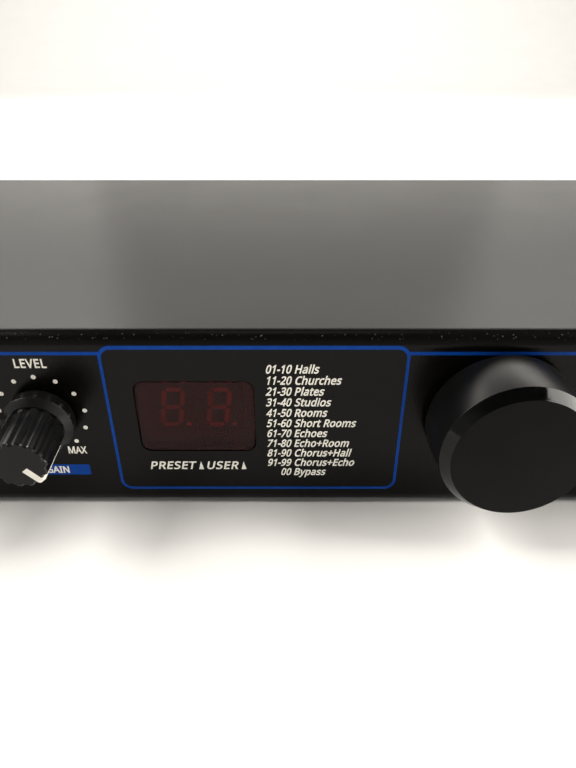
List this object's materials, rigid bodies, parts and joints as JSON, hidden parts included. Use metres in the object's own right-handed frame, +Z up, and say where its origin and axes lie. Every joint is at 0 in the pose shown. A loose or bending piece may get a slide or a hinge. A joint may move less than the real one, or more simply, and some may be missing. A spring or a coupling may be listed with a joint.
{
  "type": "rack effects unit",
  "caption": "One-unit rack effects processor: folded black steel case, fluted and smooth knobs, smoked display window, push buttons, power rocker and rear jacks.",
  "frame": {"origin": "middle of the four rack slots, in the plane of the front panel's back face", "axes": "+X to the right along the front panel, +Y from front to back, +Z up"},
  "size_m": [0.4826, 0.1714, 0.0436],
  "materials": {
    "case": "fine texture, satin black",
    "grip_plastic": "satin black",
    "dial_plastic": "satin side, polished bevel",
    "pointer": "white",
    "lens": "smoked red",
    "display_plastic": "black",
    "segment": "unlit red",
    "button_plastic": "dark grey",
    "rocker_plastic": "black",
    "green_light": "clear green",
    "red_light": "clear red",
    "zinc": "zinc plated",
    "black_screw": "black oxide",
    "nickel": "nickel plated",
    "shaft_metal": "turned",
    "board": "green solder mask",
    "chip": "black epoxy",
    "can": "bright can",
    "sleeve": "dark blue sleeve",
    "sink": "black anodised",
    "ribbon": "grey",
    "header": "black",
    "socket_plastic": "black",
    "contact": "plain",
    "pot_case": "dark green",
    "switch_plastic": "black"
  },
  "bodies": {
    "case": {"wrap_cover": "case", "base_chassis": "case", "rear_panel": "case", "rear_rails": "case", "cover_screws": "black_screw", "base_screws": "black_screw", "display_lens": "lens", "display_segments": "segment", "display_housing": "display_plastic", "pot_bodies": "pot_case", "pot_washers": "zinc", "pot_nuts": "nickel", "encoder_body": "pot_case", "encoder_washer": "zinc", "encoder_nut": "nickel", "tact_switches": "switch_plastic", "green_meter_lights": "green_light", "red_meter_lights": "red_light", "power_switch_body": "switch_plastic", "power_switch_terminals": "contact", "front_board": "board", "front_board_posts": "zinc", "front_board_screws": "zinc", "main_board": "board", "board_standoffs": "contact", "board_screws": "zinc", "signal_processor": "chip", "chip_packages": "chip", "capacitors": "sleeve", "heat_sink": "sink", "regulators": "chip", "crystal_can": "can", "ribbon_headers": "header", "ribbon_cable": "ribbon", "jack_bodies": "socket_plastic", "jack_washers": "nickel", "jack_nuts": "nickel", "data_sockets": "socket_plastic", "data_socket_contacts": "contact", "data_socket_screws": "black_screw", "power_inlet": "socket_plastic", "power_inlet_pin": "nickel"},
    "input_control": {"input_knob": "grip_plastic", "input_pointer": "pointer", "input_shaft": "shaft_metal"},
    "mix_control": {"mix_knob": "grip_plastic", "mix_pointer": "pointer", "mix_shaft": "shaft_metal"},
    "level_control": {"level_knob": "grip_plastic", "level_pointer": "pointer", "level_shaft": "shaft_metal"},
    "program_control": {"program_knob": "dial_plastic", "encoder_shaft": "shaft_metal"},
    "bypass_button": {"bypass_button": "button_plastic"},
    "edit_button": {"edit_button": "button_plastic"},
    "tap_button": {"tap_button": "button_plastic"},
    "store_button": {"store_button": "button_plastic"},
    "power_rocker": {"power_rocker": "rocker_plastic"}
  },
  "joints": [
    {"name": "input_turn", "type": "hinge", "parent": "case", "child": "input_control", "pos_m": [-0.112, 0, 0.00305], "axis": [0, -1, 0], "range_deg": [-170, 110]},
    {"name": "mix_turn", "type": "hinge", "parent": "case", "child": "mix_control", "pos_m": [-0.082, 0, 0.00305], "axis": [0, -1, 0], "range_deg": [-100, 180]},
    {"name": "level_turn", "type": "hinge", "parent": "case", "child": "level_control", "pos_m": [-0.052, 0, 0.00305], "axis": [0, -1, 0], "range_deg": [0, 280]},
    {"name": "program_turn", "type": "hinge", "parent": "case", "child": "program_control", "pos_m": [0.044, 0, 0.00305], "axis": [0, -1, 0], "continuous": true},
    {"name": "bypass_press", "type": "slide", "parent": "case", "child": "bypass_button", "axis": [0, 1, 0], "range_m": [0, 0.0005], "stiffness_N_per_m": 2500, "springref_m": -0.0002},
    {"name": "edit_press", "type": "slide", "parent": "case", "child": "edit_button", "axis": [0, 1, 0], "range_m": [0, 0.0005], "stiffness_N_per_m": 2500, "springref_m": -0.0002},
    {"name": "tap_press", "type": "slide", "parent": "case", "child": "tap_button", "axis": [0, 1, 0], "range_m": [0, 0.0005], "stiffness_N_per_m": 2500, "springref_m": -0.0002},
    {"name": "store_press", "type": "slide", "parent": "case", "child": "store_button", "axis": [0, 1, 0], "range_m": [0, 0.0005], "stiffness_N_per_m": 2500, "springref_m": -0.0002},
    {"name": "power_rock", "type": "hinge", "parent": "case", "child": "power_rocker", "pos_m": [0.19, 0.0015, 0.00305], "axis": [-1, 0, 0], "range_deg": [0, 16]}
  ]
}
